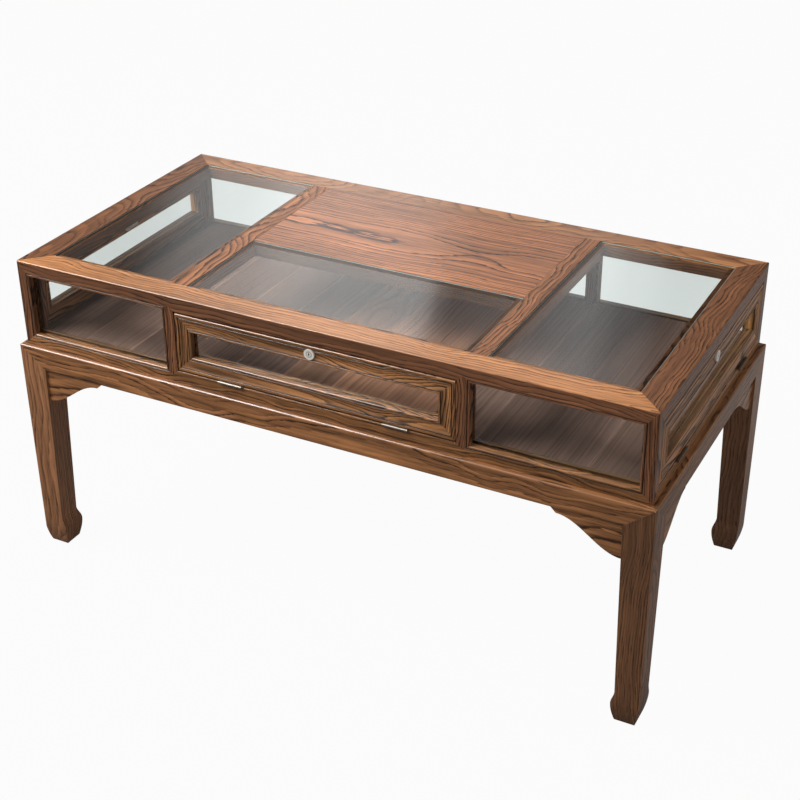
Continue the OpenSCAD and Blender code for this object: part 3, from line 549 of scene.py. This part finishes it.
def dressEdges(node, material):
    # a pane's sloping and upright faces get the second finish: the upward part of their normal is
    # below 0.9
    mesh = nodes[node].data
    mesh.materials.append(material)
    normals = np.empty(len(mesh.polygons) * 3, np.float32)
    mesh.polygons.foreach_get("normal", normals)
    flat = np.abs(normals[2::3]) > 0.9
    mesh.polygons.foreach_set("material_index", np.where(flat, 0, 1).astype(np.int32))


glass = makeGlass("clearGlass")
groundEdge = makeGroundEdge("groundGlassEdge")
hingeSteel = makeSteel("hingeSteel", "hinge")
lockSteel = makeSteel("lockSteel", "lock")
frontPlugSteel = makeSteel("frontPlugSteel", "lock", 0)
endPlugSteel = makeSteel("endPlugSteel", "lock", 1)
boardRandom = np.random.default_rng(11)
for node in sorted(nodes):
    seed = tuple(boardRandom.uniform(-3, 3, 3))
    offset = boardRandom.uniform(*randomOffsets)
    if "glass" in node:
        dress(node, glass)
        if node.startswith("top_glass"):
            dressEdges(node, groundEdge)
    elif node.endswith("lock_plug"):
        dress(node, frontPlugSteel if node.startswith("front") else endPlugSteel)
    elif node.endswith("lock_body"):
        dress(node, lockSteel)
    elif node.startswith("hinge_") or node.endswith("flap_leaves"):
        dress(node, hingeSteel)
    else:
        kind, axis = woodOf(node)
        low, high = (np.array(corner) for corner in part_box(node))
        turn = np.array(Euler(grainTurns[axis]).to_matrix())
        heart = turn @ ((low + high) / 2) - (0.0, *trunkOffsets.get(node, offset))
        dress(node, makeWood(node + "Wood", kind, axis, heart, seed, boardTonesAndShade.get(node, 1.0), framesOf(node)))
print("finishes made")

studioValues = {
    "floorColour": (0.26, 0.25, 0.24),
    "floorHalf": 14,          # metres from the middle to each side
    "floorSquares": 8,        # to each side
    "floorRough": 0.6,
    "floorWhite": 0.96,       # share of plain white that the eye sees; the rest shows the shadow
    "mirrorWhite": 0.05,      # the same share for what metal, lacquer and glass mirror
    "mirrorShade": 0.25,      # how bright the floor in front of the table is where it is mirrored
    "shadeEnds": (-0.4, 0.2),     # y at which that shade ends, and at which the full brightness starts
    "lamps": {"keyLamp": {"place": (-2.0, -1.5, 2.8), "power": 104, "size": 2.0, "mirrored": True},
              "fillLamp": {"place": (2.6, 0.5, 1.4), "power": 12, "size": 1.6, "mirrored": False}},
    "lampTarget": (0, 0, 0.45),
    "skyLevel": 0.42,
    # brightness of the mirrored sky against the x of its direction
    "mirrorSky": [(-0.64, 0.10), (-0.575, 0.12), (-0.52, 0.70), (-0.47, 1.25), (-0.405, 1.25),
                  (-0.385, 0.30), (-0.345, 0.40), (-0.30, 0.70), (-0.275, 0.35), (-0.25, 0.06)],
}


def seenWhite(s, path):
    # 1 for what the lens sees itself or straight through glass: camera ray, or transmission ray
    # where glossy depth + diffuse depth is 0
    turned = s.math("ADD", path["Glossy Depth"], path["Diffuse Depth"])
    straight = s.math("MULTIPLY", path["Is Transmission Ray"], s.math("LESS_THAN", turned, 0.5))
    return s.math("MAXIMUM", path["Is Camera Ray"], straight)


def makeFloor(v):
    # a wide level sheet at height 0, a grid of squares; it is matt under the lamps and plain white
    # where it is seen; where it is mirrored, its brightness goes with y from the shade to 1
    squares = v["floorSquares"]
    across = np.linspace(-v["floorHalf"], v["floorHalf"], squares + 1)
    gx, gy = np.meshgrid(across, across, indexing="ij")
    points = np.stack([gx, gy, np.zeros_like(gx)], -1).reshape(-1, 3)
    i, j = np.meshgrid(np.arange(squares), np.arange(squares), indexing="ij")
    first = (i * (squares + 1) + j).ravel()
    faces = np.stack([first, first + squares + 1, first + squares + 2, first + 1], -1)
    mesh = bpy.data.meshes.new("studioFloor")
    mesh.from_pydata(points.tolist(), [], faces.tolist())
    floor = bpy.data.objects.new("studioFloor", mesh)
    bpy.context.scene.collection.objects.link(floor)
    s = newMaterial("studioFloorPaint")
    path = s.add("ShaderNodeLightPath").outputs
    along = s.split(s.add("ShaderNodeTexCoord").outputs["Object"])[1]
    bright = s.eased(along, *v["shadeEnds"], v["mirrorShade"])
    dull = s.math("MULTIPLY", s.math("SUBTRACT", 1.0, bright), path["Is Glossy Ray"])
    paint = s.blend(dull, v["floorColour"], (0.0, 0.0, 0.0))
    matt = s.add("ShaderNodeBsdfDiffuse", {"Color": paint, "Roughness": v["floorRough"]})
    plain = s.add("ShaderNodeEmission", {"Color": (1, 1, 1, 1), "Strength": 1.0})
    seen = s.math("MULTIPLY", seenWhite(s, path), v["floorWhite"])
    seen = s.math("MAXIMUM", seen, s.math("MULTIPLY", path["Is Glossy Ray"], v["mirrorWhite"]))
    mesh.materials.append(s.done(s.add("ShaderNodeMixShader", {0: seen, 1: matt.outputs[0], 2: plain.outputs[0]})))


def makeLamp(name, place, power, size, mirrored, target):
    # a round soft lamp that faces the target
    data = bpy.data.lights.new(name, "AREA")
    data.shape, data.size, data.energy = "DISK", size, power
    lamp = bpy.data.objects.new(name, data)
    lamp.location = place
    lamp.rotation_euler = (Vector(target) - Vector(place)).to_track_quat("-Z", "Y").to_euler()
    lamp.visible_glossy = lamp.visible_transmission = mirrored
    bpy.context.scene.collection.objects.link(lamp)


def makeSky(level, mirror):
    # white where it is seen or looked at through glass, a soft bright band left of the middle where
    # it is mirrored, and a plain soft level as a light
    world = bpy.data.worlds.new("studioSky")
    bpy.context.scene.world = world
    s = NodeSheet(world)
    path = s.add("ShaderNodeLightPath").outputs
    across = s.split(s.add("ShaderNodeTexCoord").outputs["Generated"])[0]
    # a ramp runs from 0 to 1, so it takes (x + 1) / 2, and holds half of each brightness
    share = s.math("MULTIPLY", s.math("ADD", across, 1.0), 0.5)
    half = s.ramp(share, [((x + 1) / 2, bright / 2) for x, bright in mirror], "EASE")
    band = s.math("MULTIPLY", s.math("MULTIPLY", half, 2.0), path["Is Glossy Ray"])
    shaded = s.math("MULTIPLY", level, s.math("SUBTRACT", 1.0, path["Is Glossy Ray"]))
    strength = s.math("MAXIMUM", s.math("MAXIMUM", shaded, seenWhite(s, path)), band)
    sky = s.add("ShaderNodeBackground", {"Color": (1, 1, 1, 1), "Strength": strength})
    s.add("ShaderNodeOutputWorld", {"Surface": sky.outputs[0]})


makeFloor(studioValues)
for lampName, lamp in studioValues["lamps"].items():
    makeLamp(lampName, **lamp, target=studioValues["lampTarget"])
makeSky(studioValues["skyLevel"], studioValues["mirrorSky"])
bpy.context.scene.view_settings.view_transform = "Standard"
print("studio made")
